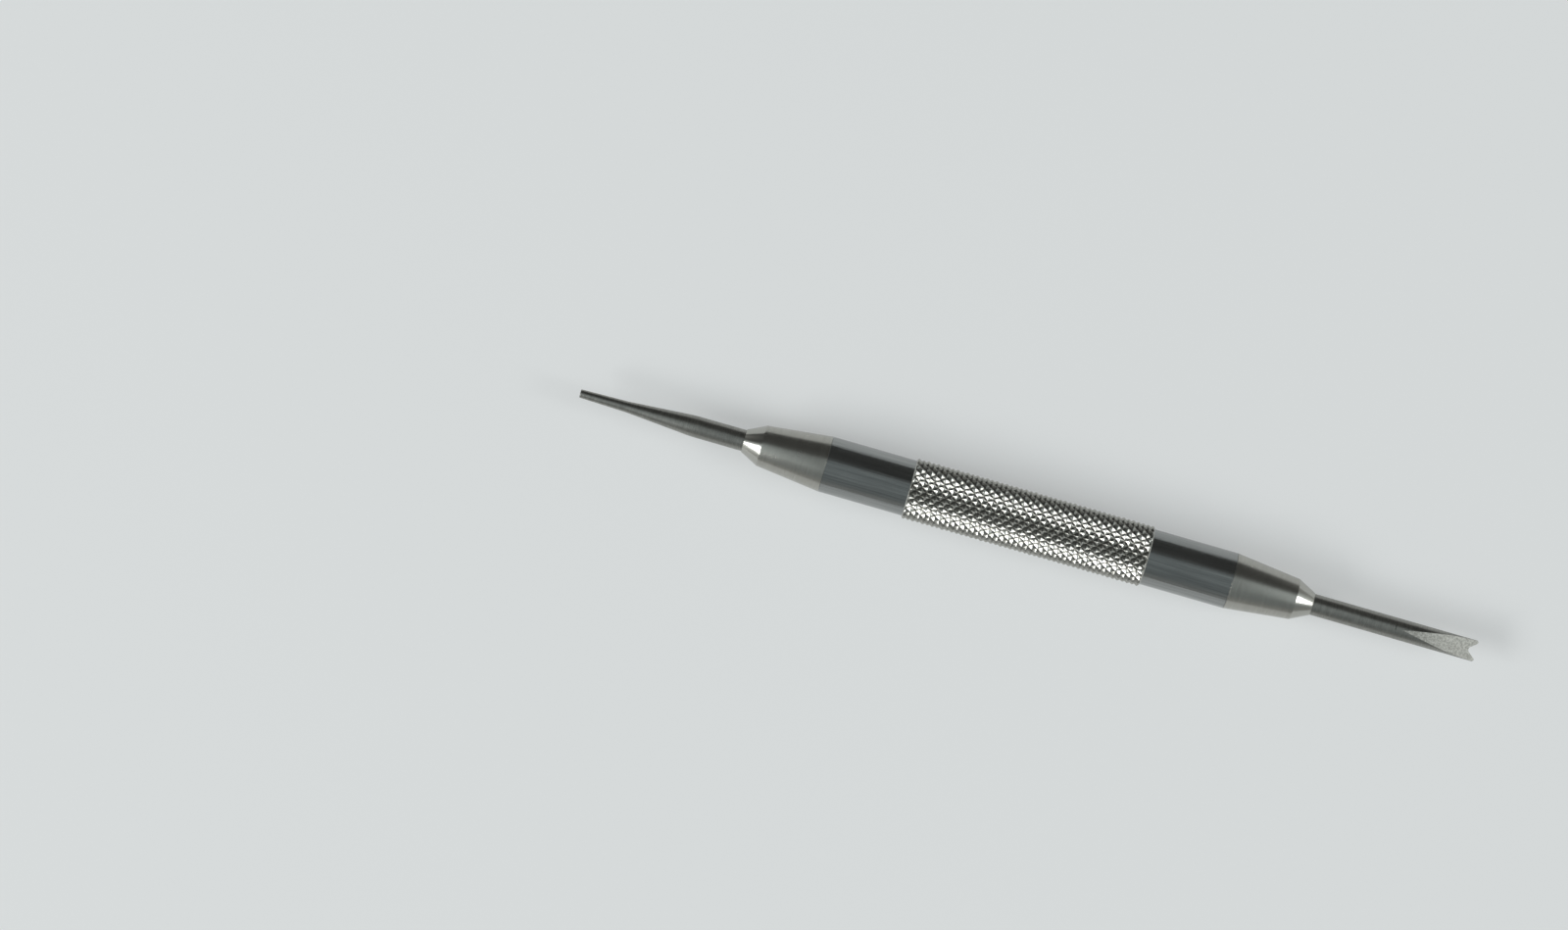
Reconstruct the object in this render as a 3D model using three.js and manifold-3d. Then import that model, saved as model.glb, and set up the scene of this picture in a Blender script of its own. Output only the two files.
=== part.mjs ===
// A double-ended spring-bar tool in steel: a knurled grip, and at each end a screwed-on
// nose that clamps a slim tip by its head. One tip is a fork, the other a plain pin.
// Millimetres. Origin at the tool's middle on its axis, +X towards the fork, and +Z
// out of the fork's upper ground flat.

import * as THREE from "three";
import { mergeVertices } from "three/addons/utils/BufferGeometryUtils.js";
import Module from "manifold-3d";

const wasm = await Module();
wasm.setup();

// Grip: a bar of BARREL_DIA with a knurled band in its middle and a tapped socket in each end.
const BARREL_DIA = 5.0;
const GRIP_LENGTH = 36.9;
const EDGE_BREAK = 0.06; // small chamfer on turned edges
const KNURL_LENGTH = 21.7;
const KNURL_DIA = 5.5; // over the points of the knurl
const KNURL_ROOT_DIA = 4.94; // in the grooves
const KNURL_RIM = 0.18; // chamfer at each end of the band
const KNURLS_ALONG = 24;
const KNURLS_AROUND = 20;
const SOCKET_DIA = 4.1;
const SOCKET_DEPTH = 4.8;

// Noses: a slow taper, a short cone, and a spigot that screws into the grip's socket.
const SEAM_GAP = 0.02; // between the nose's shoulder and the grip's end face
const TAPER_LENGTH = 5.85;
const TAPER_END_DIA = 3.65;
const CONE_LENGTH = 1.6;
const CONE_END_DIA = 2.04;
const SPIGOT_DIA = 4.0;
const SPIGOT_LENGTH = 4.5;
const BORE_DIA = 1.94;
const COUNTERBORE_DIA = 2.46;
const COUNTERBORE_DEPTH = 1.0;

// Tips: a rod with a head, which the nose clamps against the bottom of the socket.
const ROD_DIA = 1.9;
const HEAD_DIA = 2.4;
const HEAD_LENGTH = 1.2;
const HEAD_GAP = 0.05; // between the head and the socket's bottom
const TIP_REACH = 14.95; // how far a tip stands out of its nose

// Pin tip: a slightly tapered pin, then a taper out to the rod. Lengths are from its end.
const PIN_END_DIA = 0.75;
const PIN_ROOT_DIA = 0.98;
const PIN_LENGTH = 4.3;
const PIN_TAPER_LENGTH = 6.0;

// Fork tip: a flat ground on each side with a wheel's curve at its start, and a notch.
const FLAT_LENGTH = 6.75;
const FLAT_END_THICKNESS = 0.38;
const FLAT_SLOPE = 8.85 * (Math.PI / 180);
const NOTCH_MOUTH = 1.4;
const NOTCH_DEPTH = 0.7;
const NOTCH_ROOT_RADIUS = 0.3;
const PRONG_CHAMFER = 0.12;

const ROD_SIDES = 32;
const GRIP_SIDES = 2 * KNURLS_AROUND;
const CLEAR = 2; // how far a cutting outline reaches past the rod

const gripEnd = GRIP_LENGTH / 2;
const socketFloor = gripEnd - SOCKET_DEPTH;
const noseStart = gripEnd + SEAM_GAP;
const taperEnd = gripEnd + TAPER_LENGTH;
const noseEnd = taperEnd + CONE_LENGTH;
const tipEnd = noseEnd + TIP_REACH;
const headBack = socketFloor + HEAD_GAP;
const headFront = headBack + HEAD_LENGTH;

// Turns a profile of [radius, height] pairs about Y. The outer wall runs upwards.
function turned(profile, sides) {
  const points = profile.map(([radius, height]) => new THREE.Vector2(radius, height));
  return new THREE.LatheGeometry(points, sides);
}

// Merges shared vertices and drops the flat triangles at a lathe's poles.
function welded(geometry) {
  const bare = geometry.clone();
  bare.deleteAttribute("normal");
  bare.deleteAttribute("uv");
  const merged = mergeVertices(bare, 1e-5);
  const corners = merged.index.array;
  const kept = [];
  for (let i = 0; i < corners.length; i += 3) {
    const [a, b, c] = corners.slice(i, i + 3);
    if (a !== b && b !== c && c !== a) kept.push(a, b, c);
  }
  merged.setIndex(kept);
  return merged;
}

function toManifold(geometry) {
  const closed = welded(geometry);
  const mesh = new wasm.Mesh({
    numProp: 3,
    vertProperties: new Float32Array(closed.attributes.position.array),
    triVerts: new Uint32Array(closed.index.array),
  });
  return new wasm.Manifold(mesh);
}

function toGeometry(manifold) {
  const mesh = manifold.getMesh();
  const geometry = new THREE.BufferGeometry();
  geometry.setAttribute("position", new THREE.BufferAttribute(mesh.vertProperties, 3));
  geometry.setIndex(new THREE.BufferAttribute(mesh.triVerts, 1));
  geometry.computeVertexNormals();
  return geometry;
}

// Heights of the knurl's rings, half a pitch apart, so that every second one holds points.
function knurlHeights() {
  const span = KNURL_LENGTH - 2 * KNURL_RIM;
  const rings = 2 * KNURLS_ALONG;
  return Array.from({ length: rings + 1 }, (_, ring) => -span / 2 + (span * ring) / rings);
}

// The band is a lattice of four-sided pyramids. On a chequerboard of rings and sides, the
// even corners are their points, the odd ones are where the grooves cross, and each
// square is split along its groove. The points lie on a bar with KNURLS_AROUND flats: on
// its edges in every second ring, and halfway between them in the others, so that the
// tool lies still on a flat.
function knurledGrip() {
  const barrel = BARREL_DIA / 2;
  const socket = SOCKET_DIA / 2;
  const band = knurlHeights().map((height) => [KNURL_ROOT_DIA / 2, height]);
  const lower = [
    [0, -socketFloor],
    [socket, -socketFloor],
    [socket, -gripEnd],
    [barrel - EDGE_BREAK, -gripEnd],
    [barrel, -gripEnd + EDGE_BREAK],
    [barrel, -KNURL_LENGTH / 2],
  ];
  const upper = lower.map(([radius, height]) => [radius, -height]).reverse();
  const profile = [...lower, ...band, ...upper];
  const geometry = turned(profile, GRIP_SIDES);
  const position = geometry.attributes.position;
  const lastRing = band.length - 1;
  for (let side = 0; side <= GRIP_SIDES; side += 1) {
    for (let ring = side % 2; ring <= lastRing; ring += 2) {
      const onFlat = side % 2 === 0 ? Math.cos(Math.PI / KNURLS_AROUND) : 1;
      const atRim = ring === 0 || ring === lastRing;
      const point = (KNURL_DIA / 2) * onFlat - (atRim ? KNURL_RIM : 0);
      const grow = point / (KNURL_ROOT_DIA / 2);
      const corner = side * profile.length + lower.length + ring;
      position.setX(corner, position.getX(corner) * grow);
      position.setZ(corner, position.getZ(corner) * grow);
    }
  }
  geometry.setIndex(chequered(profile.length, lower.length));
  return geometry;
}

// Triangles of a lathe grid, with each square's diagonal joining its two odd corners.
function chequered(rows, firstRow) {
  const corners = [];
  for (let side = 0; side < GRIP_SIDES; side += 1) {
    for (let row = 0; row < rows - 1; row += 1) {
      const a = side * rows + row;
      const b = a + rows;
      const [c, d] = [b + 1, a + 1];
      const evenFirst = (row - firstRow + side) % 2 === 0;
      corners.push(...(evenFirst ? [a, b, d, c, d, b] : [a, b, c, c, d, a]));
    }
  }
  return corners;
}

function nose() {
  const [spigot, bore, counterbore] = [SPIGOT_DIA / 2, BORE_DIA / 2, COUNTERBORE_DIA / 2];
  const spigotEnd = gripEnd - SPIGOT_LENGTH;
  const shoulder = spigotEnd + COUNTERBORE_DEPTH;
  return turned(
    [
      [counterbore, spigotEnd],
      [spigot - EDGE_BREAK, spigotEnd],
      [spigot, spigotEnd + EDGE_BREAK],
      [spigot, noseStart],
      [BARREL_DIA / 2 - EDGE_BREAK, noseStart],
      [BARREL_DIA / 2, noseStart + EDGE_BREAK],
      [TAPER_END_DIA / 2, taperEnd],
      [CONE_END_DIA / 2, noseEnd],
      [bore, noseEnd],
      [bore, shoulder],
      [counterbore, shoulder],
      [counterbore, spigotEnd],
    ],
    GRIP_SIDES,
  );
}

// The head and the rod, up to the height where a tip's own end begins.
function clampedRod() {
  return [
    [0, headBack],
    [HEAD_DIA / 2 - EDGE_BREAK, headBack],
    [HEAD_DIA / 2, headBack + EDGE_BREAK],
    [HEAD_DIA / 2, headFront],
    [ROD_DIA / 2, headFront],
  ];
}

function pinTip() {
  const pinStart = tipEnd - PIN_LENGTH;
  return turned(
    [
      ...clampedRod(),
      [ROD_DIA / 2, pinStart - PIN_TAPER_LENGTH],
      [PIN_ROOT_DIA / 2, pinStart],
      [PIN_END_DIA / 2, tipEnd - EDGE_BREAK],
      [PIN_END_DIA / 2 - EDGE_BREAK, tipEnd],
      [0, tipEnd],
    ],
    ROD_SIDES,
  );
}

// Seen from the side: parallel, then round the grinding wheel's curve, which starts level
// with the rod and ends at the flat's slope, then straight to the thin end.
function groundSide() {
  const thin = FLAT_END_THICKNESS / 2;
  const fall = ROD_DIA / 2 - thin - FLAT_LENGTH * Math.tan(FLAT_SLOPE);
  const wheel = fall / (1 - Math.cos(FLAT_SLOPE) - Math.sin(FLAT_SLOPE) * Math.tan(FLAT_SLOPE));
  const start = tipEnd - FLAT_LENGTH;
  const past = thin - CLEAR * Math.tan(FLAT_SLOPE) / 2;
  const outline = new THREE.Shape();
  outline.moveTo(headBack - CLEAR, -CLEAR);
  outline.lineTo(start, -CLEAR);
  outline.absarc(start, wheel - ROD_DIA / 2, wheel, -Math.PI / 2, FLAT_SLOPE - Math.PI / 2);
  outline.lineTo(tipEnd + CLEAR / 2, -past);
  outline.lineTo(tipEnd + CLEAR / 2, past);
  outline.absarc(start, ROD_DIA / 2 - wheel, wheel, Math.PI / 2 - FLAT_SLOPE, Math.PI / 2);
  outline.lineTo(start, CLEAR);
  outline.lineTo(headBack - CLEAR, CLEAR);
  const across = new THREE.ExtrudeGeometry(outline, {
    depth: 2 * CLEAR,
    bevelEnabled: false,
    curveSegments: 8,
  });
  across.translate(0, 0, -CLEAR);
  const [alongY, alongZ, alongX] = [
    new THREE.Vector3(0, 1, 0),
    new THREE.Vector3(0, 0, 1),
    new THREE.Vector3(1, 0, 0),
  ];
  return across.applyMatrix4(new THREE.Matrix4().makeBasis(alongY, alongZ, alongX));
}

// Seen from above: the end with its chamfered corners and the notch, whose flanks are
// tangent to its round root.
function notchedPlan() {
  const [mouth, root] = [NOTCH_MOUTH / 2, NOTCH_ROOT_RADIUS];
  const centre = tipEnd - NOTCH_DEPTH + root;
  const toMouth = Math.atan2(tipEnd - centre, mouth);
  const touch = toMouth - Math.acos(root / Math.hypot(tipEnd - centre, mouth));
  const prong = ROD_DIA / 2 - PRONG_CHAMFER;
  const outline = new THREE.Shape();
  outline.moveTo(-CLEAR, headBack - CLEAR);
  outline.lineTo(CLEAR, headBack - CLEAR);
  outline.lineTo(CLEAR, tipEnd - (CLEAR - prong));
  outline.lineTo(prong, tipEnd);
  outline.lineTo(mouth, tipEnd);
  outline.absarc(0, centre, root, touch, -Math.PI - touch, true);
  outline.lineTo(-mouth, tipEnd);
  outline.lineTo(-prong, tipEnd);
  outline.lineTo(-CLEAR, tipEnd - (CLEAR - prong));
  const plan = new THREE.ExtrudeGeometry(outline, {
    depth: 2 * CLEAR,
    bevelEnabled: false,
    curveSegments: 12,
  });
  return plan.translate(0, 0, -CLEAR);
}

function forkTip() {
  const blankEnd = tipEnd + CLEAR / 4;
  const blank = turned([...clampedRod(), [ROD_DIA / 2, blankEnd], [0, blankEnd]], ROD_SIDES);
  const ground = toManifold(blank).intersect(toManifold(groundSide()));
  return toGeometry(ground.intersect(toManifold(notchedPlan())));
}

const barrelSteel = { color: 0x85888d, metalness: 1, roughness: 0.34 };
const noseSteel = { color: 0x9b9790, metalness: 1, roughness: 0.28 };
const tipSteel = { color: 0x6f6d6c, metalness: 1, roughness: 0.42 };

function piece(name, geometry, finish) {
  const mesh = new THREE.Mesh(geometry, new THREE.MeshStandardMaterial(finish));
  mesh.name = name;
  return mesh;
}

// Each group turns its pieces' own +Y axis to point out of one end of the tool.
function endGroup(turn, ...pieces) {
  const group = new THREE.Group();
  group.rotation.z = turn;
  group.add(...pieces);
  return group;
}

const tool = new THREE.Group();
tool.add(
  endGroup(
    -Math.PI / 2,
    piece("knurled_grip", knurledGrip(), barrelSteel),
    piece("fork_nose", nose(), noseSteel),
    piece("fork_tip", forkTip(), tipSteel),
  ),
  endGroup(
    Math.PI / 2,
    piece("pin_nose", nose(), noseSteel),
    piece("pin_tip", pinTip(), tipSteel),
  ),
);

export default tool;
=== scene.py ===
# %% [markdown]
# # A double-ended spring-bar tool
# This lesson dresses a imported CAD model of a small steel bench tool. The tool is 82 mm long:
# a knurled grip, a screwed-on nose at each end, and a slim tip in each nose, one a fork
# and one a plain pin. Everything on it was made on a lathe, a knurling wheel or a grinder,
# so every shape here is a formula: a profile turned about the X axis, and a few cuts.
# The CAD model is the frame. It says where each piece lies and how it moves.

import math

import bmesh
import bpy
import numpy as np
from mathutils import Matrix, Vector


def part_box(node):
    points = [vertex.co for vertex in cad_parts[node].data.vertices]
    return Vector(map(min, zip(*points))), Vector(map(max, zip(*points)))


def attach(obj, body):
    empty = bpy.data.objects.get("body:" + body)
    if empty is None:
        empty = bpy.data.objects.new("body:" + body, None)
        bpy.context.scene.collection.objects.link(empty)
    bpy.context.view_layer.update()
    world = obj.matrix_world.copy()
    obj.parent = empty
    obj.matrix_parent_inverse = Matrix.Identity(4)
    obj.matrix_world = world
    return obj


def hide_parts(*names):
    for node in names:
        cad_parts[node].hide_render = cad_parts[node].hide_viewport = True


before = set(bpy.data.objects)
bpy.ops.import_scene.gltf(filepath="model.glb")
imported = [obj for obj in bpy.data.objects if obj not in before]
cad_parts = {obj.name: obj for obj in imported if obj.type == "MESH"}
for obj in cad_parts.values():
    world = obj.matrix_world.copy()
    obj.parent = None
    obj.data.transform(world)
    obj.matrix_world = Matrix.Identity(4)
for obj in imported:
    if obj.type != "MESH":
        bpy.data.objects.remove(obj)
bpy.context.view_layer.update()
MM = 0.001

# %% [markdown]
# ## Sizes
# The shapes below are worked out in millimetres, because a machinist thinks in them, and
# become metres only when a mesh is made. Where a length is the CAD model's own, it is read
# from the boxes of its nodes instead of being typed again.

# %% Sizes read from the frame, in millimetres
def node_box(node):
    """Lowest and highest corner of a CAD node, in millimetres."""
    low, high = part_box(node)
    return np.array(low) / MM, np.array(high) / MM


_, grip_high = node_box("knurled_grip")
nose_low, nose_high = node_box("fork_nose")
tip_low, tip_high = node_box("fork_tip")
GRIP_END = grip_high[0]
NOSE_END = nose_high[0]
TIP_END = tip_high[0]
SPIGOT_END = nose_low[0]
HEAD_BACK = tip_low[0]
BARREL_R = nose_high[2]
HEAD_R = tip_high[2]
print(f"grip ends at {GRIP_END:.2f}, nose at {NOSE_END:.2f}, tip at {TIP_END:.2f} mm")

# %% Sizes that the boxes don't hold, in millimetres
KNURL_LENGTH = 21.7  # with the plain rims
KNURL_SPAN = 21.34  # without them
KNURL_R = 2.75
KNURL_ROOT_R = 2.47
KNURLS_ALONG = 24
KNURLS_AROUND = 20

THREAD_R = 2.0
THREAD_DEPTH = 0.3
THREAD_PITCH = 0.5
THREAD_PLAY = 0.04
SOCKET_FLOOR = HEAD_BACK - 0.05

SEAM_GAP = 0.02
TAPER_END = GRIP_END + 5.85
TAPER_END_R = 1.825
CONE_END_R = 1.02
BORE_R = 0.97
COUNTERBORE_R = 1.23
COUNTERBORE_DEPTH = 1.0

ROD_R = 0.95
HEAD_LENGTH = 1.2
print(f"knurl {KNURL_LENGTH} mm long, thread {2 * THREAD_R:.0f} x {THREAD_PITCH} mm")

# %% [markdown]
# ## Meshes from grids
# A turned piece is a grid: its rows are rings along the axis, and its columns go round.
# With whole arrays, the corner numbers of all faces come from one small grid of indices
# and the same grid rolled by one, so no loop over vertices is needed. A profile that
# starts and ends on the axis closes by itself once its doubled points are merged.

# %% Faces of a grid
def grid_quads(rows, columns, close_rows=False):
    """Corner indices of a grid's squares. Columns always join round."""
    index = np.arange(rows * columns).reshape(rows, columns)
    upper = np.roll(index, -1, axis=0) if close_rows else index[1:]
    lower = index if close_rows else index[:-1]
    right = np.roll(np.arange(columns), -1)
    corners = (lower, lower[:, right], upper[:, right], upper)
    return np.stack(corners, axis=-1).reshape(-1, 4)


def mesh_object(name, points_mm, faces, sharp_degrees=34, finish_of_face=None):
    """Makes a mesh object from points in millimetres and lists of corner indices. Edges
    that turn by more than sharp_degrees stay sharp. finish_of_face gives each face the
    number of its finish."""
    mesh = bpy.data.meshes.new(name)
    mesh.from_pydata((np.asarray(points_mm) * MM).tolist(), [], faces)
    if finish_of_face is not None:
        mesh.polygons.foreach_set("material_index", finish_of_face)
    mesh.update()
    piece = bpy.data.objects.new(name, mesh)
    bpy.context.scene.collection.objects.link(piece)
    weld(mesh)
    mesh.shade_smooth()
    mesh.set_sharp_from_angle(angle=math.radians(sharp_degrees))
    print(f"{name}: {len(mesh.vertices)} points, {len(mesh.polygons)} faces")
    return piece


def weld(mesh, distance=1e-8):
    """Merges doubled points, as at a pole, and drops the faces that this flattens."""
    work = bmesh.new()
    work.from_mesh(mesh)
    bmesh.ops.remove_doubles(work, verts=work.verts, dist=distance)
    bmesh.ops.dissolve_degenerate(work, edges=work.edges, dist=distance)
    work.to_mesh(mesh)
    work.free()


# %% [markdown]
# ## Profiles with rounded corners
# No edge on a real tool is perfectly sharp, and the small radius on an edge is what
# catches the light. A profile is therefore written as a polyline whose corners each carry
# a radius. The arc that replaces a corner touches both lines at a distance of
# radius x tan(half the turn) from it.

# %% A polyline with arcs at its corners
def rounded(corners, steps=4):
    """Turns (x, r, radius) corners into a polyline. At a corner with a radius, the arc's
    centre lies on the bisector, at radius / cos(half turn) from the corner."""
    points = np.array([corner[:2] for corner in corners], float)
    path = [points[0][None]]
    for before, corner, after, (_, _, radius) in zip(
        points[:-2], points[1:-1], points[2:], corners[1:-1]
    ):
        come = (corner - before) / np.linalg.norm(corner - before)
        leave = (after - corner) / np.linalg.norm(after - corner)
        turn = math.acos(np.clip(come @ leave, -1, 1))
        is_straight = turn < 1e-4
        if radius == 0 or is_straight:
            path.append(corner[None])
            continue
        inward = leave - come
        inward /= np.linalg.norm(inward)
        centre = corner + inward * radius / math.cos(turn / 2)
        share = np.linspace(-0.5, 0.5, steps + 1)[:, None] * turn
        along = (come + leave) / np.linalg.norm(come + leave)
        path.append(centre - radius * (np.cos(share) * inward - np.sin(share) * along))
    path.append(points[-1][None])
    return np.concatenate(path)


elbow = rounded([(0, 0, 0), (1, 0, 0.5), (1, 1, 0)])
print("a right angle with a radius of 0.5:", elbow.round(2).tolist())

# %% Rings from a profile
def ring_points(x, radius, angles):
    """Points of rings about the X axis: (x, r cos a, r sin a). radius is one number per
    ring, or one per ring and angle."""
    radius = np.broadcast_to(np.asarray(radius).reshape(len(x), -1), (len(x), len(angles)))
    x = np.broadcast_to(x[:, None], radius.shape)
    return np.stack((x, radius * np.cos(angles), radius * np.sin(angles)), -1)


# %% [markdown]
# ## Screw threads
# The noses screw into the grip, so their spigots carry a real helix, and the grip's
# sockets carry the matching one. Neither shows until a nose is turned out. On a helix the
# radius depends only on one number, x / pitch - angle / full turn: the same place on the
# thread comes round again one pitch further on. The profile across it is a V with a
# narrow flat on its crest and a wider one at its root.

# %% The thread's radius
CREST_SHARE = 0.125
FLANK_SHARE = 0.7
RINGS_PER_PITCH = 10


def thread_radius(x, angles, outer):
    """Radius of a right-handed thread on the fork's side. The turns are counted from the
    grip's end, and the V is a triangle wave cut off at the crest and at the root."""
    turns = (x[:, None] - GRIP_END) / THREAD_PITCH - angles[None] / (2 * math.pi)
    wave = np.abs(2 * (turns % 1) - 1)
    return outer - THREAD_DEPTH * np.clip((wave - CREST_SHARE) / FLANK_SHARE, 0, 1)


def thread_rings(low, high):
    """Ring places between low and high. They sit at the same parts of the pitch on the
    spigot and in the socket, so the two threads keep their play all along."""
    step = THREAD_PITCH / RINGS_PER_PITCH
    first = math.ceil((low - GRIP_END) / step)
    last = math.floor((high - GRIP_END) / step)
    return GRIP_END + step * np.arange(first, last + 1)


def even_rings(start, end, spacing):
    """Ring places from start to end, both left out."""
    count = max(2, int(round(abs(end - start) / spacing)) + 1)
    return np.linspace(start, end, count)[1:-1]


one_pitch = thread_rings(GRIP_END - THREAD_PITCH, GRIP_END)
one_turn = thread_radius(one_pitch, np.zeros(1), THREAD_R)
print(f"the thread's radius goes from {one_turn.min():.2f} to {one_turn.max():.2f} mm")

# %% [markdown]
# ## The grip
# The grip is one bar: a smooth land, a raised band of diamond knurl, a smooth land, and a
# threaded socket in each end. Diamond knurl is two sets of V grooves that cross, which
# leaves rows of four-sided pyramids. On a lattice whose steps are half a pitch along and
# half a pitch round, the points stand where the step numbers add up to an even number.
# The height at any place is one, less its distance from the nearest point counted along
# both steps. Rounding each distance off near zero gives the ridges the small radius that a
# real knurl has, while the grooves stay sharp.

# %% The knurl's height
RIDGE = 0.045
MOST_WEAR = 0.1
SPARE_ROWS = 5  # the lattice runs on into the rims


def soft_distance(d):
    """A distance d from 0 to 1, rounded off near 0: sqrt(d^2 + ridge^2) - ridge, scaled so
    that 1 stays 1."""
    return (np.sqrt(d**2 + RIDGE**2) - RIDGE) / (math.sqrt(1 + RIDGE**2) - RIDGE)


lattice_shape = (2 * KNURLS_ALONG + SPARE_ROWS, 2 * KNURLS_AROUND)
point_wear = 1 - MOST_WEAR * np.random.default_rng(5).random(lattice_shape)


def knurl_height(u, v):
    """0 in the grooves and about 1 on the points. u and v are the lattice steps along
    and round, and points stand at even u + v. Each point is worn by its own share."""
    cell_u, cell_v = np.floor(u), np.floor(v)
    du, dv = u - cell_u, v - cell_v
    odd_cell = (cell_u + cell_v) % 2 == 1
    dv = np.where(odd_cell, 1 - dv, dv)
    far = du + dv > 1
    a, b = np.where(far, 1 - du, du), np.where(far, 1 - dv, dv)
    point_u = (cell_u + far + 2).astype(int)
    point_v = (cell_v + (far != odd_cell)).astype(int) % (2 * KNURLS_AROUND)
    height = np.clip(1 - soft_distance(a) - soft_distance(b), 0, 1)
    return height * point_wear[point_u, point_v]


on_point, on_saddle, in_groove = (knurl_height(np.array(u), np.array(0.0)) for u in (0.0, 0.5, 1.0))
print(f"height on a point {on_point:.2f}, halfway {on_saddle:.2f}, in the groove {in_groove:.2f}")

# %% [markdown]
# The grid follows the lattice, with extra lines close to every ridge. Its lines round are
# spread in the same way, so that each groove runs exactly from corner to corner of the
# small squares, and the squares are cut in two along it. At both ends of the band the
# turner chamfered the knurl, which leaves a thin plain rim.

# %% The grip's rings
SUBSTEPS = np.array([0, 0.08, 0.36, 0.64, 0.92])
RIM_STEPS = np.array([0, 0.02, 0.05, 0.08, 0.11, 0.14])
RIM_HEIGHT = 0.06
RIM_WIDTH = 0.09
RIM_FALL = 4
grip_steps_round = (np.arange(2 * KNURLS_AROUND)[:, None] + SUBSTEPS).ravel()
grip_angles = math.pi / 2 + grip_steps_round * math.pi / KNURLS_AROUND
half_pitch = KNURL_SPAN / (2 * KNURLS_ALONG)


def knurl_rings():
    """Places of the band's rings: the lattice's, and a few in each chamfer."""
    steps = (np.arange(2 * KNURLS_ALONG)[:, None] + SUBSTEPS).ravel()
    places = np.append(steps, 2 * KNURLS_ALONG) * half_pitch - KNURL_SPAN / 2
    rim = KNURL_LENGTH / 2 - RIM_STEPS
    return np.concatenate((-rim, places, rim[::-1]))


def knurl_radius(x, steps_round):
    """The knurl between two limits at each end of the band: a chamfer at 45 degrees holds
    it down, and a rim, which follows the chamfer and then falls off, holds it up."""
    u = (x[:, None] + KNURL_SPAN / 2) / half_pitch
    height = knurl_height(u, steps_round[None])
    radius = KNURL_ROOT_R + (KNURL_R - KNURL_ROOT_R) * height
    inside = (KNURL_LENGTH / 2 - np.abs(x))[:, None]
    chamfer = BARREL_R + RIM_HEIGHT + inside
    rim = chamfer - RIM_FALL * np.clip(inside - RIM_WIDTH, 0, None)
    return np.minimum(np.maximum(radius, rim), chamfer)


print(f"{len(grip_angles)} points round, {len(knurl_rings())} rings along the knurl")

# %% [markdown]
# A tapped hole isn't threaded over its whole depth. The tap's own taper leaves the last
# turn shallow, and the mouth is countersunk, so the socket's thread fades out at both ends.

# %% The sockets
SOCKET_LEAD = 0.3  # plain stretch between the mouth and the thread
SOCKET_CHAMFER = 0.12
FIRST_RING = 0.04  # from the floor to the first ring of the thread
FLOOR_EDGE = 0.01
FADE_SPARE = 0.02
OPEN_R = THREAD_R + THREAD_PLAY


def socket_rings(side):
    """The socket from its floor's centre out to the end face, with its thread. The pin's
    end is the fork's end turned half round Z, which takes an angle to half a turn less
    that angle."""
    angles = grip_angles if side > 0 else math.pi - grip_angles
    lead_end = GRIP_END - SOCKET_LEAD
    places = thread_rings(SOCKET_FLOOR + FIRST_RING, lead_end)
    from_ends = np.minimum(lead_end - places, places - SOCKET_FLOOR)
    fade = np.clip(from_ends / THREAD_PITCH, 0, 1)[:, None]
    thread = thread_radius(places, angles, OPEN_R)
    thread = np.maximum(thread, OPEN_R - fade * (THREAD_DEPTH + FADE_SPARE))
    floor_r = np.array([0.0, THREAD_R - THREAD_DEPTH, OPEN_R])
    edge_r = np.array([OPEN_R, OPEN_R, OPEN_R + SOCKET_CHAMFER])
    around = np.ones(len(angles))
    floor_x = [SOCKET_FLOOR, SOCKET_FLOOR, SOCKET_FLOOR + FLOOR_EDGE]
    edge_x = [lead_end, GRIP_END - SOCKET_CHAMFER, GRIP_END]
    x = np.concatenate((floor_x, places, edge_x)) * side
    radius = np.concatenate((floor_r[:, None] * around, thread, edge_r[:, None] * around))
    return x, radius


socket_x, _ = socket_rings(1)
print(f"socket: {len(socket_x)} rings, {abs(socket_x[-1] - socket_x[0]):.2f} mm deep")

# %% Build the grip
EDGE_BREAK = 0.012
LAND_RING_SPACING = 1.2


def land(x_from, x_to):
    """A plain land with its end face's small chamfer, from the knurl outwards."""
    edge = x_to - math.copysign(EDGE_BREAK, x_to)
    places = np.concatenate(([x_from], even_rings(x_from, x_to, LAND_RING_SPACING), [edge]))
    radius = np.full(len(places), BARREL_R)
    return np.append(places, x_to), np.append(radius, BARREL_R - EDGE_BREAK)


def grip_grid():
    """All rings of the grip in order, from the pin's socket floor to the fork's."""
    ones = np.ones(len(grip_angles))
    left_x, left_r = socket_rings(-1)
    right_x, right_r = socket_rings(1)
    band_x = knurl_rings()
    band_r = knurl_radius(band_x, grip_steps_round)
    near_x, near_r = land(-KNURL_LENGTH / 2, -GRIP_END)
    far_x, far_r = land(KNURL_LENGTH / 2, GRIP_END)
    x = np.concatenate((left_x, near_x[::-1], band_x, far_x, right_x[::-1]))
    radius = np.concatenate(
        (left_r, near_r[::-1, None] * ones, band_r, far_r[:, None] * ones, right_r[::-1])
    )
    return x, radius


def cut_along_grooves(quads, x):
    """Two triangles for each square, cut so that no groove is crossed by a triangle: one
    way in the lattice's even cells, the other way in its odd ones."""
    row, column = np.divmod(np.arange(len(quads)), len(grip_angles))
    nudge = 1e-6
    u = np.floor((x[row] + nudge + KNURL_SPAN / 2) / half_pitch)
    even_cell = (u + column // len(SUBSTEPS)) % 2 == 0
    a, b, c, d = quads.T
    one = np.where(even_cell[:, None], np.stack((a, b, d), 1), np.stack((a, b, c), 1))
    two = np.where(even_cell[:, None], np.stack((b, c, d), 1), np.stack((a, c, d), 1))
    return np.concatenate((one, two))


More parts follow.
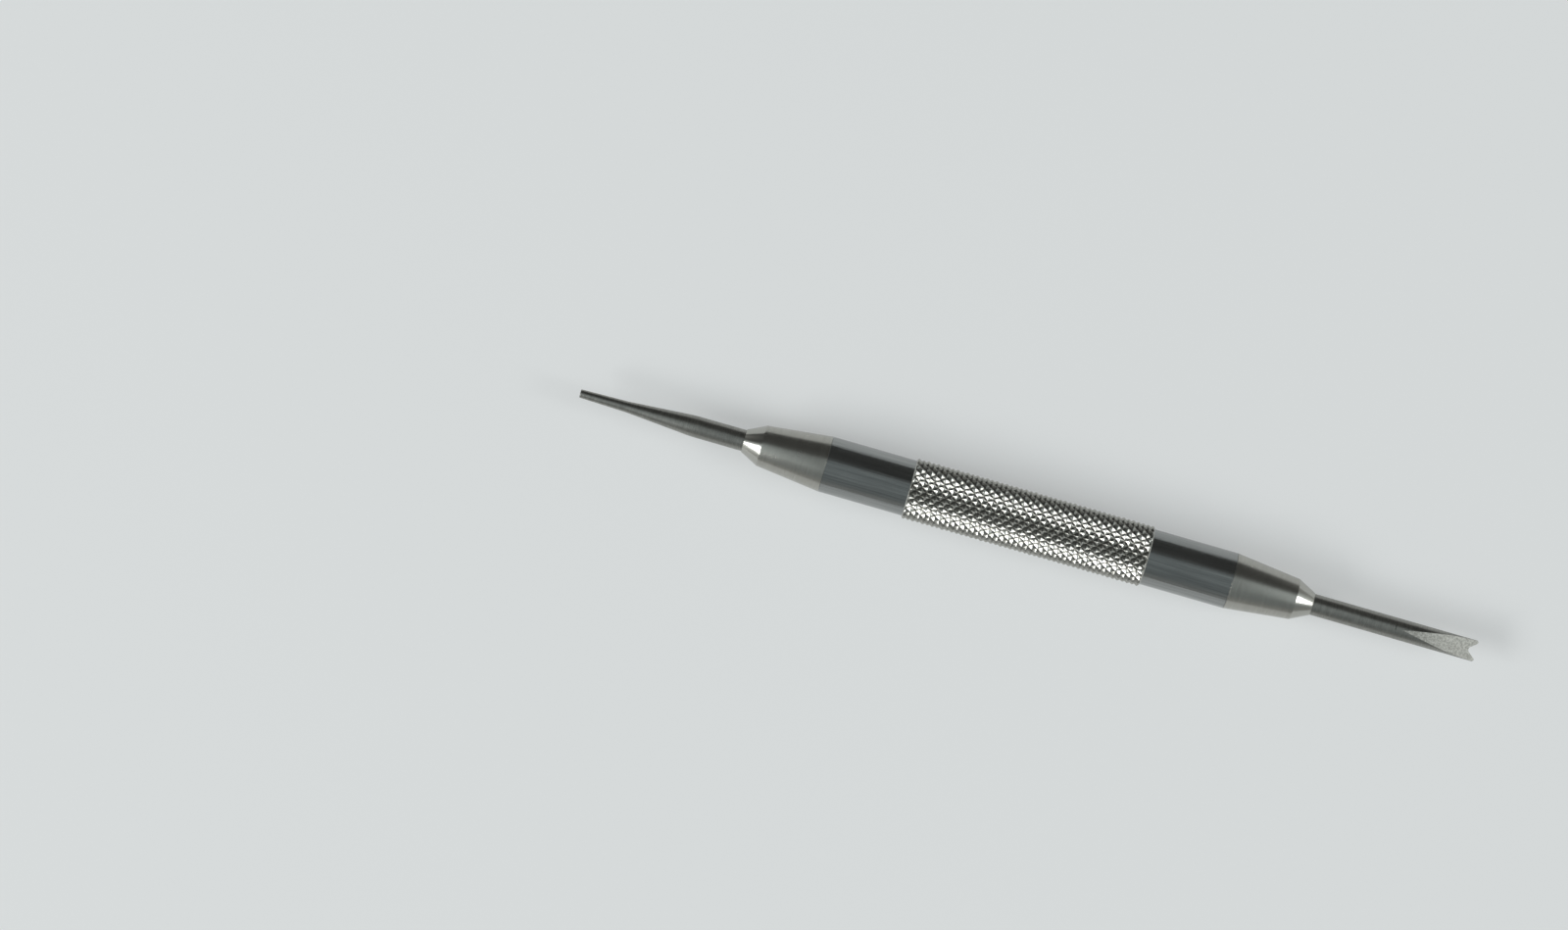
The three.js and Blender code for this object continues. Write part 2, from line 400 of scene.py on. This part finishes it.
grip_x, grip_r = grip_grid()
grip_points = ring_points(grip_x, grip_r, grip_angles).reshape(-1, 3)
grip_quads = grid_quads(len(grip_x), len(grip_angles))
grip_faces = cut_along_grooves(grip_quads, grip_x)
grip = mesh_object("grip_turned_and_knurled", grip_points, grip_faces.tolist())

# %% [markdown]
# ## The noses
# A nose is a sleeve: a slow taper, a short cone, and a threaded spigot, with a bore right
# through for the tip and a wider counterbore for the tip's head. Its profile never touches
# the axis. It goes out along the outside and comes back through the bore, and the last
# ring joins the first. The pin's nose is the fork's nose turned half round Z.

# %% The noses' grid
NOSE_SIDES = 128
SPIGOT_R = THREAD_R - 0.02
SPIGOT_ROOT_R = THREAD_R - THREAD_DEPTH
THREAD_START = SPIGOT_END + 0.05
SHOULDER = GRIP_END + SEAM_GAP
THREAD_STOP = SHOULDER - 0.5
UNDERCUT = 0.44
RUN_OUT_SLOPE = 1.2
COUNTERBORE_CHAMFER = 0.1


def spigot_thread(angles):
    """Ring places and radii of the spigot's thread. It rises from its root over a 45 degree
    lead-in and falls back to it before the shoulder."""
    places = thread_rings(THREAD_START + 0.01, THREAD_STOP + 0.04)
    lead_in = SPIGOT_ROOT_R + np.clip(places - THREAD_START, 0, None)
    run_out = SPIGOT_ROOT_R + np.clip((THREAD_STOP - places) * RUN_OUT_SLOPE, 0, None)
    limit = np.minimum(lead_in, run_out)[:, None]
    return places, np.minimum(thread_radius(places, angles, SPIGOT_R), limit)


def spigot_end():
    """Profile from the counterbore's mouth, over the spigot's end face, to its thread."""
    return rounded([
        (SPIGOT_END + COUNTERBORE_CHAMFER, COUNTERBORE_R, 0),
        (SPIGOT_END, COUNTERBORE_R + COUNTERBORE_CHAMFER, 0),
        (SPIGOT_END, SPIGOT_ROOT_R - 0.05, 0.04),
        (THREAD_START, SPIGOT_ROOT_R, 0),
    ])


def nose_outside():
    """Profile from the undercut, over the taper and the cone, and back through the bore."""
    return rounded([
        (SHOULDER - UNDERCUT, SPIGOT_ROOT_R, 0),
        (SHOULDER, SPIGOT_ROOT_R, 0.15),
        (SHOULDER, BARREL_R, EDGE_BREAK),
        (TAPER_END, TAPER_END_R, 0.25),
        (NOSE_END, CONE_END_R, 0.02),
        (NOSE_END, BORE_R, 0.01),
        (SPIGOT_END + COUNTERBORE_DEPTH, BORE_R, 0.02),
        (SPIGOT_END + COUNTERBORE_DEPTH, COUNTERBORE_R, 0.02),
        (SPIGOT_END + COUNTERBORE_CHAMFER + 0.02, COUNTERBORE_R, 0),
    ])


def nose_grid():
    """Points of the fork's nose and their number of rings."""
    angles = np.arange(NOSE_SIDES) * 2 * math.pi / NOSE_SIDES
    around = np.ones(NOSE_SIDES)
    inner, outer = spigot_end(), nose_outside()
    places, thread = spigot_thread(angles)
    x = np.concatenate((inner[:, 0], places, outer[:, 0]))
    radius = np.concatenate((inner[:, 1:] * around, thread, outer[:, 1:] * around))
    return ring_points(x, radius, angles).reshape(-1, 3), len(x)


nose_points, nose_rows = nose_grid()
print(f"a nose has {nose_rows} rings of {NOSE_SIDES} points")

# %% Build the noses
def half_turn(points):
    """Turned half round Z: x and y change sign, so faces still point outwards."""
    return points * np.array([-1, -1, 1])


nose_quads = grid_quads(nose_rows, NOSE_SIDES, close_rows=True).tolist()
fork_nose = mesh_object("fork_nose_turned", nose_points, nose_quads)
pin_nose = mesh_object("pin_nose_turned", half_turn(nose_points), nose_quads)

# %% [markdown]
# ## The pin tip
# The pin is turned in two steps, a nearly parallel pin and a longer taper that runs into
# the rod, so it is a single profile from the head to the flat end. Large radii at the two
# changes of slope make them melt into each other as filing does.

# %% Build the pin tip
TIP_SIDES = 72
PIN_LENGTH = 4.3
PIN_TAPER_LENGTH = 6.0
PIN_END_R = 0.375
PIN_ROOT_R = 0.49
PIN_TAPER_BLEND = 12
PIN_ROOT_BLEND = 9


def tip_head():
    """The head and the start of the rod, from the centre of the head's back face."""
    return [
        (HEAD_BACK, 0, 0),
        (HEAD_BACK, HEAD_R, 0.08),
        (HEAD_BACK + HEAD_LENGTH, HEAD_R, 0.03),
        (HEAD_BACK + HEAD_LENGTH, ROD_R, 0.03),
    ]


def pin_profile():
    """The head, the rod, the taper, the pin and its rounded edge, with large radii where
    the slope changes."""
    root = TIP_END - PIN_LENGTH
    return rounded([
        *tip_head(),
        (root - PIN_TAPER_LENGTH, ROD_R, PIN_TAPER_BLEND),
        (root, PIN_ROOT_R, PIN_ROOT_BLEND),
        (TIP_END, PIN_END_R, 0.05),
        (TIP_END, 0, 0),
    ], steps=8)


def turned(profile, sides):
    """A solid of revolution about X from a profile that starts and ends on the axis."""
    angles = np.arange(sides) * 2 * math.pi / sides
    points = ring_points(profile[:, 0], profile[:, 1], angles).reshape(-1, 3)
    return points, grid_quads(len(profile), sides).tolist()


pin_points, pin_quads = turned(pin_profile(), TIP_SIDES)
pin_tip = mesh_object("pin_tip_drawn", half_turn(pin_points), pin_quads)

# %% [markdown]
# ## The fork tip
# The fork starts as the same rod. A grinding wheel cuts a flat on each side: its first
# stretch follows the wheel's own curve, so it leaves the rod at no angle at all, which is
# why the flat begins in a sharp V. Then it runs straight to a thin end, and a rounded
# notch makes the two prongs. A boolean would give ragged edges here, so the ground end is
# five smooth patches that share their border points: two flats, two round sides, and the
# end wall through the notch. At a distance s from its start the half thickness is the
# rod's radius less s^2 / (2 wheel radius), and a straight line after the wheel's stretch.

# %% The fork's formulas
FLAT_LENGTH = 6.75
FLAT_END_HALF = 0.19
FLAT_SLOPE = math.tan(math.radians(8.85))
NOTCH_MOUTH = 0.7
NOTCH_DEPTH = 0.7
NOTCH_ROOT_R = 0.3
PRONG_CHAMFER = 0.12
PRONG_EDGE = ROD_R - PRONG_CHAMFER
FLAT_START = TIP_END - FLAT_LENGTH

full_fall = ROD_R - FLAT_END_HALF
wheel_run = 2 * (FLAT_LENGTH - full_fall / FLAT_SLOPE)
wheel_r = wheel_run / FLAT_SLOPE


def half_thickness(x):
    """Half the fork's thickness: a parabola over wheel_run, then a line of FLAT_SLOPE."""
    s = x - FLAT_START
    curved = s**2 / (2 * wheel_r)
    straight = FLAT_SLOPE * (s - wheel_run / 2)
    return ROD_R - np.where(s < wheel_run, curved, straight)


def half_width(x):
    """Half the width of the flat: the rod's circle cut at the half thickness."""
    return np.sqrt(np.clip(ROD_R**2 - half_thickness(x) ** 2, 0, None))


print(f"the wheel's curve runs {wheel_run:.2f} mm at a radius of {wheel_r:.1f} mm")

# %% [markdown]
# The notch is drawn from its round root and its mouth. A straight flank leaves the root's
# circle as a tangent and ends at the mouth's corner. Seen from the circle's centre, the
# point where they touch lies acos(radius / distance of the corner) short of the corner.

# %% The notch
root_centre = TIP_END - NOTCH_DEPTH + NOTCH_ROOT_R
mouth_angle = math.atan2(TIP_END - root_centre, NOTCH_MOUTH)
mouth_reach = math.hypot(TIP_END - root_centre, NOTCH_MOUTH)
touch_angle = mouth_angle - math.acos(NOTCH_ROOT_R / mouth_reach)
touch_y = NOTCH_ROOT_R * math.cos(touch_angle)
touch_x = root_centre + NOTCH_ROOT_R * math.sin(touch_angle)


def end_outline(y):
    """How far the fork reaches at a distance y from its middle: the notch's round root,
    its straight flank, the prong's end and its chamfered corner."""
    y = np.abs(y)
    root = root_centre - np.sqrt(np.clip(NOTCH_ROOT_R**2 - y**2, 0, None))
    flank = touch_x + (y - touch_y) * (TIP_END - touch_x) / (NOTCH_MOUTH - touch_y)
    corner = TIP_END - np.clip(y - PRONG_EDGE, 0, None)
    return np.where(y < touch_y, root, np.where(y < NOTCH_MOUTH, flank, corner))


print(f"the notch is {TIP_END - end_outline(0):.2f} mm deep and its flanks start at {touch_y:.2f} mm")

# %% The fork's patches
ROWS_ALONG = 49
CROWD_TO_START = 1.15
ROOT_LINES, FLANK_LINES, END_LINES, SIDE_LINES = 9, 7, 4, 4
END_SHARPNESS = 8


def across_shares():
    """Places across a flat, from -1 to 1, with lines at every corner of the end."""
    y = np.concatenate((
        touch_y * np.sin(np.linspace(0, math.pi / 2, ROOT_LINES)),
        np.linspace(touch_y, NOTCH_MOUTH, FLANK_LINES)[1:],
        np.linspace(NOTCH_MOUTH, PRONG_EDGE, END_LINES)[1:],
    ))
    share = y / half_width(end_outline(y))
    outer = np.linspace(share[-1], 1, SIDE_LINES)[1:]
    half = np.concatenate((share, outer))
    return np.concatenate((-half[:0:-1], half))


def flat_patch(shares, along):
    """x and y of a flat's points. A column's end x solves x = outline(share x width(x)),
    which a few rounds of putting x back in settle."""
    rounds = 30
    end = np.full(len(shares), TIP_END)
    for _ in range(rounds):
        end = end_outline(shares * half_width(end))
    x = FLAT_START + along[:, None] * (end - FLAT_START)
    return x, shares * half_width(x)


def patch_faces(rows, columns, start, flip=False):
    """Squares of an open patch whose first point has the number start."""
    index = start + np.arange(rows * columns).reshape(rows, columns)
    corners = (index[:-1, :-1], index[:-1, 1:], index[1:, 1:], index[1:, :-1])
    quads = np.stack(corners, -1).reshape(-1, 4)
    return quads[:, ::-1] if flip else quads


def round_side(edge_x, side):
    """The rod's own surface between the two flats, on one side. A row at x spans the
    angles whose sine is within half thickness / rod radius."""
    turns = np.linspace(-1, 1, TIP_SIDES // 2 + 1)
    lean = np.arcsin(np.clip(half_thickness(edge_x) / ROD_R, -1, 1))[:, None] * turns
    x = np.broadcast_to(edge_x[:, None], lean.shape)
    return np.stack((x, side * ROD_R * np.cos(lean), ROD_R * np.sin(lean)), -1)


def end_wall(x, y, z, shares):
    """The wall through the notch, from the upper flat's last row x, y, z to the lower
    flat's. Only its outer columns bulge, to meet the round sides."""
    turns = np.linspace(1, -1, TIP_SIDES // 2 + 1)[:, None]
    lean = math.asin(half_thickness(x[-1]) / ROD_R) * turns
    bulge = np.cos(lean) / math.cos(lean[0, 0])
    wall_y = y * (1 + (bulge - 1) * np.abs(shares) ** END_SHARPNESS)
    wall_z = z * np.sin(lean) / math.sin(lean[0, 0])
    return np.stack((np.broadcast_to(x, wall_y.shape), wall_y, wall_z), -1)


def fork_patches():
    """The patches of the ground end as (points of shape rows x columns x 3, flip)."""
    along = np.linspace(0, 1, ROWS_ALONG) ** CROWD_TO_START
    shares = across_shares()
    x, y = flat_patch(shares, along)
    z = half_thickness(x)
    return [
        (np.stack((x, y, z), -1), True),
        (np.stack((x, y, -z), -1), False),
        (round_side(x[:, -1], 1), False),
        (round_side(x[:, -1], -1), True),
        (end_wall(x[-1], y[-1], z[-1], shares), True),
    ]


def fork_rod():
    """The head and the rod, up to where the flats begin, as an open turned patch."""
    profile = rounded([*tip_head(), (FLAT_START, ROD_R, 0)], steps=8)
    angles = np.linspace(-math.pi / 2, 1.5 * math.pi, TIP_SIDES + 1)
    return ring_points(profile[:, 0], profile[:, 1], angles), False


def joined(patches):
    """One list of points and one of faces for all patches, and each face's patch."""
    points, faces, origin, start = [], [], [], 0
    for number, (grid, flip) in enumerate(patches):
        rows, columns = grid.shape[:2]
        points.append(grid.reshape(-1, 3))
        quads = patch_faces(rows, columns, start, flip)
        faces += quads.tolist()
        origin.append(np.full(len(quads), number))
        start += rows * columns
    return np.concatenate(points), faces, np.concatenate(origin)


# %% Build the fork tip
GROUND_PATCHES = 2
fork_points, fork_faces, patch_of_face = joined([*fork_patches(), fork_rod()])
fork_tip = mesh_object(
    "fork_tip_ground", fork_points, fork_faces, sharp_degrees=25,
    finish_of_face=(patch_of_face < GROUND_PATCHES).astype(np.int32),
)

# %% [markdown]
# ## Shader arithmetic
# A finish is a formula on positions, so it reads best as one. `Wire` wraps the output of a
# shader node, and its operators add Math nodes: `1 - mask * 0.4` builds two of them.
# `Finish` holds one material. Its method `node` adds any other kind of node, and the rest
# of its methods are the few combinations that every finish here needs.

# %% Wires and finishes
class Wire:
    """The output of a node, with arithmetic that adds Math nodes."""

    def __init__(self, finish, socket):
        self.finish, self.socket = finish, socket

    def math(self, operation, *values):
        return self.finish.node("ShaderNodeMath", {"operation": operation}, *values)

    def __add__(self, other):
        return self.math("ADD", self, other)

    def __sub__(self, other):
        return self.math("SUBTRACT", self, other)

    def __rsub__(self, other):
        return self.math("SUBTRACT", other, self)

    def __mul__(self, other):
        return self.math("MULTIPLY", self, other)

    def __pow__(self, other):
        return self.math("POWER", self, other)

    def __abs__(self):
        return self.math("ABSOLUTE", self)

    __radd__, __rmul__ = __add__, __mul__

    def ramp(self, low, high):
        """Goes smoothly from 0 at low to 1 at high. low may be the larger of the two."""
        settings = {"interpolation_type": "SMOOTHSTEP"}
        return self.finish.node("ShaderNodeMapRange", settings, self, low, high)


class Finish:
    """A material, or a world, and the one way to add a node to it."""

    def __init__(self, name=None, world=None):
        self.data = world or bpy.data.materials.new(name)
        self.data.use_nodes = True
        self.tree = self.data.node_tree
        self.tree.nodes.clear()

    def node(self, kind, settings=None, *values, out=0, **named):
        """Adds a node, sets it up, fills its sockets in order or by name, and returns
        the wanted output."""
        node = self.tree.nodes.new(kind)
        for key, setting in (settings or {}).items():
            setattr(node, key, setting)
        sockets = list(zip(node.inputs, values))
        sockets += [(self.find(node.inputs, key), value) for key, value in named.items()]
        for socket, value in sockets:
            if isinstance(value, Wire):
                self.tree.links.new(value.socket, socket)
            else:
                socket.default_value = value
        outputs = [s for s in node.outputs if s.enabled]
        return Wire(self, outputs[out]) if outputs else node

    @staticmethod
    def find(sockets, key):
        return next(s for s in sockets if key.replace("_", " ") == s.name and s.enabled)

    def mix(self, share, first, second):
        """A blend of two colours, each a colour or a wire."""
        node = self.tree.nodes.new("ShaderNodeMix")
        node.data_type = "RGBA"
        for identifier, value in (("Factor_Float", share), ("A_Color", first), ("B_Color", second)):
            socket = next(s for s in node.inputs if s.identifier == identifier)
            if isinstance(value, Wire):
                self.tree.links.new(value.socket, socket)
            else:
                socket.default_value = value
        return Wire(self, next(s for s in node.outputs if s.identifier == "Result_Color"))

    def point(self):
        """The shaded point in the piece's own space, in millimetres."""
        place = self.node("ShaderNodeTexCoord", out=3)
        return self.node("ShaderNodeVectorMath", {"operation": "SCALE"}, place, Scale=1 / MM)

    def parts(self, vector):
        """The x, y and z of a vector."""
        first = self.node("ShaderNodeSeparateXYZ", {}, vector)
        return [Wire(self, socket) for socket in first.socket.node.outputs]

    def stretched(self, point, x, y, z):
        """The point with its three axes scaled, which draws a noise out along one."""
        settings = {"operation": "MULTIPLY"}
        return self.node("ShaderNodeVectorMath", settings, point, (x, y, z))

    def noise(self, point, detail=3.0, roughness=0.6, scale=1.0):
        """A cloudy value about 0.5."""
        return self.node("ShaderNodeTexNoise", {}, Vector=point, Scale=scale,
                         Detail=detail, Roughness=roughness)

    def metal(self, colour, roughness, height, depth_mm):
        """Ends the finish: bare metal with a colour, a roughness and a fine relief."""
        bump = self.node("ShaderNodeBump", {}, Strength=1.0, Distance=depth_mm * MM,
                         Height=height)
        shader = self.node("ShaderNodeBsdfPrincipled", {}, Base_Color=colour, Metallic=1.0,
                           Roughness=roughness, Normal=bump)
        self.node("ShaderNodeOutputMaterial", {}, Surface=shader)
        return self.data


def grey(value, warmth=0.0):
    """A metal's grey; warmth above 0 leans to yellow, below 0 to blue."""
    return (value * (0.985 + warmth), value, value * (0.96 - 1.4 * warmth), 1.0)


print("the warmest and the coolest steel:", grey(0.5, 0.035), grey(0.5, -0.02))

# %% [markdown]
# ## Steel for the grip
# The lands were left as the drawn bar came: fine lines along the axis, and a few marks
# across it. The knurl's facets were burnished by the wheel, so they are smoother, and
# painted shade darkens the bottoms of the grooves. One material does both, told apart by x.

# %% Grip finish
def grip_finish():
    """Drawn bar on the lands, burnished facets in the band, with painted shade in the grooves."""
    f = Finish("drawn_bar_and_knurl")
    point = f.point()
    x, y, z = f.parts(point)
    in_band = abs(x).ramp(KNURL_LENGTH / 2 + 0.02, KNURL_LENGTH / 2 - 0.02)
    draw_lines = f.noise(f.stretched(point, 0.12, 9.0, 9.0), detail=4.0, roughness=0.7)
    cloud = f.noise(f.stretched(point, 0.35, 0.7, 0.7), detail=2.0)
    ticks = f.noise(f.stretched(point, 22.0, 1.6, 1.6), detail=2.0)
    grain = f.noise(point, detail=3.0, roughness=0.7, scale=9.0)
    from_axis = (y * y + z * z) ** 0.5
    height_share = from_axis.ramp(KNURL_ROOT_R, KNURL_R)
    bar = f.mix(draw_lines.ramp(0.3, 0.7), grey(0.25, -0.02), grey(0.38, -0.01))
    # painted shade: the knurl's colour darkens from its points down to the groove bottoms
    knurl = f.mix(height_share.ramp(0.0, 0.5), grey(0.25, 0.03), grey(0.44, 0.02))
    colour = f.mix(in_band, bar, knurl)
    bar_rough = 0.12 + 0.08 * cloud + 0.08 * ticks
    knurl_rough = 0.1 + 0.16 * grain
    roughness = bar_rough * (1 - in_band) + knurl_rough * in_band
    relief = (draw_lines + 0.25 * ticks) * (1 - in_band) + 1.6 * grain * in_band
    return f.metal(colour, roughness, relief, 0.008)


bar_steel = grip_finish()
print("grip finish:", len(bar_steel.node_tree.nodes), "nodes")

# %% [markdown]
# ## Steel for the noses
# A turning tool leaves rings, and rings scatter light along the axis. The taper kept them
# under a satin polish; the cone was polished bright, so its rings are shallower.

# %% Nose finish
def nose_finish():
    """Satin taper with turned rings, and a bright cone."""
    f = Finish("turned_nose")
    point = f.point()
    on_cone = abs(f.parts(point)[0]).ramp(TAPER_END - 0.1, TAPER_END + 0.1)
    rings = f.noise(f.stretched(point, 26.0, 0.5, 0.5), detail=3.0, roughness=0.7)
    haze = f.noise(f.stretched(point, 0.6, 0.9, 0.9), detail=3.0)
    satin = f.mix(rings.ramp(0.3, 0.7), grey(0.36, 0.035), grey(0.46, 0.03))
    colour = f.mix(on_cone, satin, grey(0.44, 0.025))
    roughness = 0.24 - 0.07 * on_cone + 0.05 * haze
    relief = rings * (1 - 0.5 * on_cone)
    return f.metal(colour, roughness, relief, 0.0035)


nose_steel = nose_finish()
print("nose finish:", len(nose_steel.node_tree.nodes), "nodes")

# %% [markdown]
# ## Hardened steel for the tips
# Hardening left a dark, dull skin on the rods, with rough marks across them. Grinding the
# fork removed the skin, so its flats are pale and speckled, and scatter the light.

# %% Tip finishes
SCRIBED_X = 33.45
SCRIBED_Y = 0.05


def tip_finish():
    """The dull skin of hardened rod, with a faint scribed mark across the fork's."""
    f = Finish("hardened_rod")
    point = f.point()
    x, y, _ = f.parts(point)
    rings = f.noise(f.stretched(point, 12.0, 1.6, 1.6), detail=4.0, roughness=0.7)
    skin = f.noise(f.stretched(point, 0.8, 1.6, 1.6), detail=3.0)
    mark = abs(x - SCRIBED_X).ramp(0.09, 0.03) * abs(y - SCRIBED_Y).ramp(0.28, 0.12)
    colour = f.mix(rings.ramp(0.3, 0.75), grey(0.23, 0.02), grey(0.36, 0.03))
    colour = f.mix(mark * 0.6, colour, grey(0.06))
    return f.metal(colour, 0.25 + 0.14 * skin, rings, 0.007)


def ground_finish():
    """Freshly ground steel: pale, speckled, and too rough to mirror anything."""
    f = Finish("ground_flat")
    speckle = f.noise(f.point(), detail=4.0, roughness=0.7, scale=6.0)
    colour = f.mix(speckle.ramp(0.35, 0.65), grey(0.34, 0.035), grey(0.58, 0.025))
    return f.metal(colour, 0.44 + 0.14 * speckle, speckle, 0.01)


rod_steel = tip_finish()
ground_steel = ground_finish()
print("tip finishes:", rod_steel.name, "and", ground_steel.name)

# %% [markdown]
# ## Bodies and nodes
# Each visible piece rides on a body of the frame and takes the place of one node of the
# CAD model. The slot says which of the tool's steels it is made of.

# %% Give every piece its finish, its body and its CAD node
def dress(piece, finishes, body, node):
    """Gives a piece its finishes and tells the frame what it is."""
    for finish in finishes:
        piece.data.materials.append(finish)
    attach(piece, body)
    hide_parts(node)
    print(f"{piece.name} rides on {body} in place of {node}")


dress(grip, [bar_steel], "grip", "knurled_grip")
dress(fork_nose, [nose_steel], "fork_nose", "fork_nose")
dress(pin_nose, [nose_steel], "pin_nose", "pin_nose")
dress(fork_tip, [rod_steel, ground_steel], "fork_tip", "fork_tip")
dress(pin_tip, [rod_steel], "pin_tip", "pin_tip")

# %% [markdown]
# ## Floor, light and camera
# The tool lies on a pale floor and is seen from straight above. Polished steel shows its
# surroundings, so the room matters as much as the lamps: a compact softbox on each side, a
# paler band of room near the horizon, and a darker room overhead, darkest on the side away
# from the viewer. The camera is turned a little, so the tool lies slanting in the picture.

# %% Floor
PICTURE_TURN = math.radians(16.07)
picture_right = np.array([math.cos(PICTURE_TURN), math.sin(PICTURE_TURN), 0])
picture_up = np.array([-math.sin(PICTURE_TURN), math.cos(PICTURE_TURN), 0])
FLOOR_GAP = 1e-5
FLOOR_Z = -KNURL_R * MM - FLOOR_GAP
FLOOR_REACH = 3.0


def make_floor():
    """One big square, a hair below the tool. It glows a little, as painted light that keeps the
    tool's shadows on it faint.
    """
    corners = np.array([(-1, -1), (1, -1), (1, 1), (-1, 1)]) * FLOOR_REACH
    mesh = bpy.data.meshes.new("floor")
    mesh.from_pydata([(x, y, FLOOR_Z) for x, y in corners], [], [(0, 1, 2, 3)])
    floor = bpy.data.objects.new("floor", mesh)
    bpy.context.scene.collection.objects.link(floor)
    f = Finish("pale_floor")
    # painted light: the floor's emission fills in the shadows that the tool casts on it
    shader = f.node("ShaderNodeBsdfPrincipled", {}, Base_Color=(0.40, 0.41, 0.41, 1),
                    Roughness=0.7, Emission_Color=(0.98, 1.0, 1.0, 1),
                    Emission_Strength=0.33)
    f.node("ShaderNodeOutputMaterial", {}, Surface=shader)
    mesh.materials.append(f.data)


make_floor()
print(f"floor at z = {FLOOR_Z / MM:.2f} mm")

# %% Softboxes
LIGHT_DISTANCE = 1.5


def facing(direction):
    """The turn that makes a light look along a direction."""
    return Vector(direction).to_track_quat("-Z", "Y").to_euler()


def softbox(name, azimuth, elevation, width, height, power):
    """A wide area light that looks at the tool. Its azimuth counts from the picture's
    right, towards the picture's top."""
    flat = math.cos(azimuth) * picture_right + math.sin(azimuth) * picture_up
    direction = flat * math.cos(elevation) + np.array([0, 0, math.sin(elevation)])
    data = bpy.data.lights.new(name, "AREA")
    data.shape, data.size, data.size_y = "RECTANGLE", width, height
    data.energy = power
    light = bpy.data.objects.new(name, data)
    bpy.context.scene.collection.objects.link(light)
    light.location = direction * LIGHT_DISTANCE
    light.rotation_euler = facing(-direction)
    print(f"{name}: {width} x {height} m, {power} W")


LIGHT_ELEVATION = math.radians(34)
softbox("softbox_right", math.radians(-13), LIGHT_ELEVATION, width=0.6, height=0.45, power=6.7)
softbox("softbox_left", math.radians(195), LIGHT_ELEVATION, width=1.0, height=0.45, power=14.5)

# %% Room
def make_room():
    """The world's brightness by direction: a cool grey on the viewer's side, paler near
    the horizon, and dark on the far side. There is a pale patch low on each flank, and a
    soft glow to the left and right of overhead."""
    world = bpy.data.worlds.new("room")
    bpy.context.scene.world = world
    f = Finish(world=world)
    direction = f.node("ShaderNodeTexCoord", out=0)
    turned_in = f.node("ShaderNodeVectorRotate", {"rotation_type": "Z_AXIS"},
                       Vector=direction, Angle=-PICTURE_TURN)
    right, up, high = f.parts(turned_in)
    near_side = up.ramp(0.4, 0.24)
    horizon = high.ramp(0.6, 0.1) * near_side
    flanks = abs(right).ramp(0.45, 0.7) * high.ramp(0.5, 0.25) * up.ramp(0.24, 0.4)
    glow = abs(right).ramp(0.12, 0.3) * abs(up + 0.12).ramp(0.5, 0.25)
    low_front = up.ramp(-0.3, -0.8)
    level = 0.07 + near_side * (0.24 - 0.05 * low_front) + 0.07 * horizon
    level = level + 0.25 * flanks + 0.32 * glow
    cool = near_side - horizon
    shade = f.node("ShaderNodeCombineColor", {}, level * (0.98 - 0.08 * cool), level,
                   level * (0.97 + 0.05 * cool))
    f.node("ShaderNodeOutputWorld", {}, f.node("ShaderNodeBackground", {}, shade, 1.0))
    print("room:", len(f.tree.nodes), "nodes")


make_room()

# %% Camera
LENS = 120.0
SENSOR = 36.0
PICTURE_WIDTH = 0.1375
PICTURE_CENTRE = (-0.02195, -0.00109)


def make_camera():
    """Straight above the picture's centre, as high as its width asks for."""
    data = bpy.data.cameras.new("camera")
    data.lens, data.sensor_width = LENS, SENSOR
    camera = bpy.data.objects.new("camera", data)
    bpy.context.scene.collection.objects.link(camera)
    camera.location = (*PICTURE_CENTRE, PICTURE_WIDTH * LENS / SENSOR)
    camera.rotation_euler = (0, 0, PICTURE_TURN)
    bpy.context.scene.camera = camera
    print(f"camera {camera.location.z:.3f} m above the tool's axis")


make_camera()
bpy.context.scene.view_settings.view_transform = "Standard"
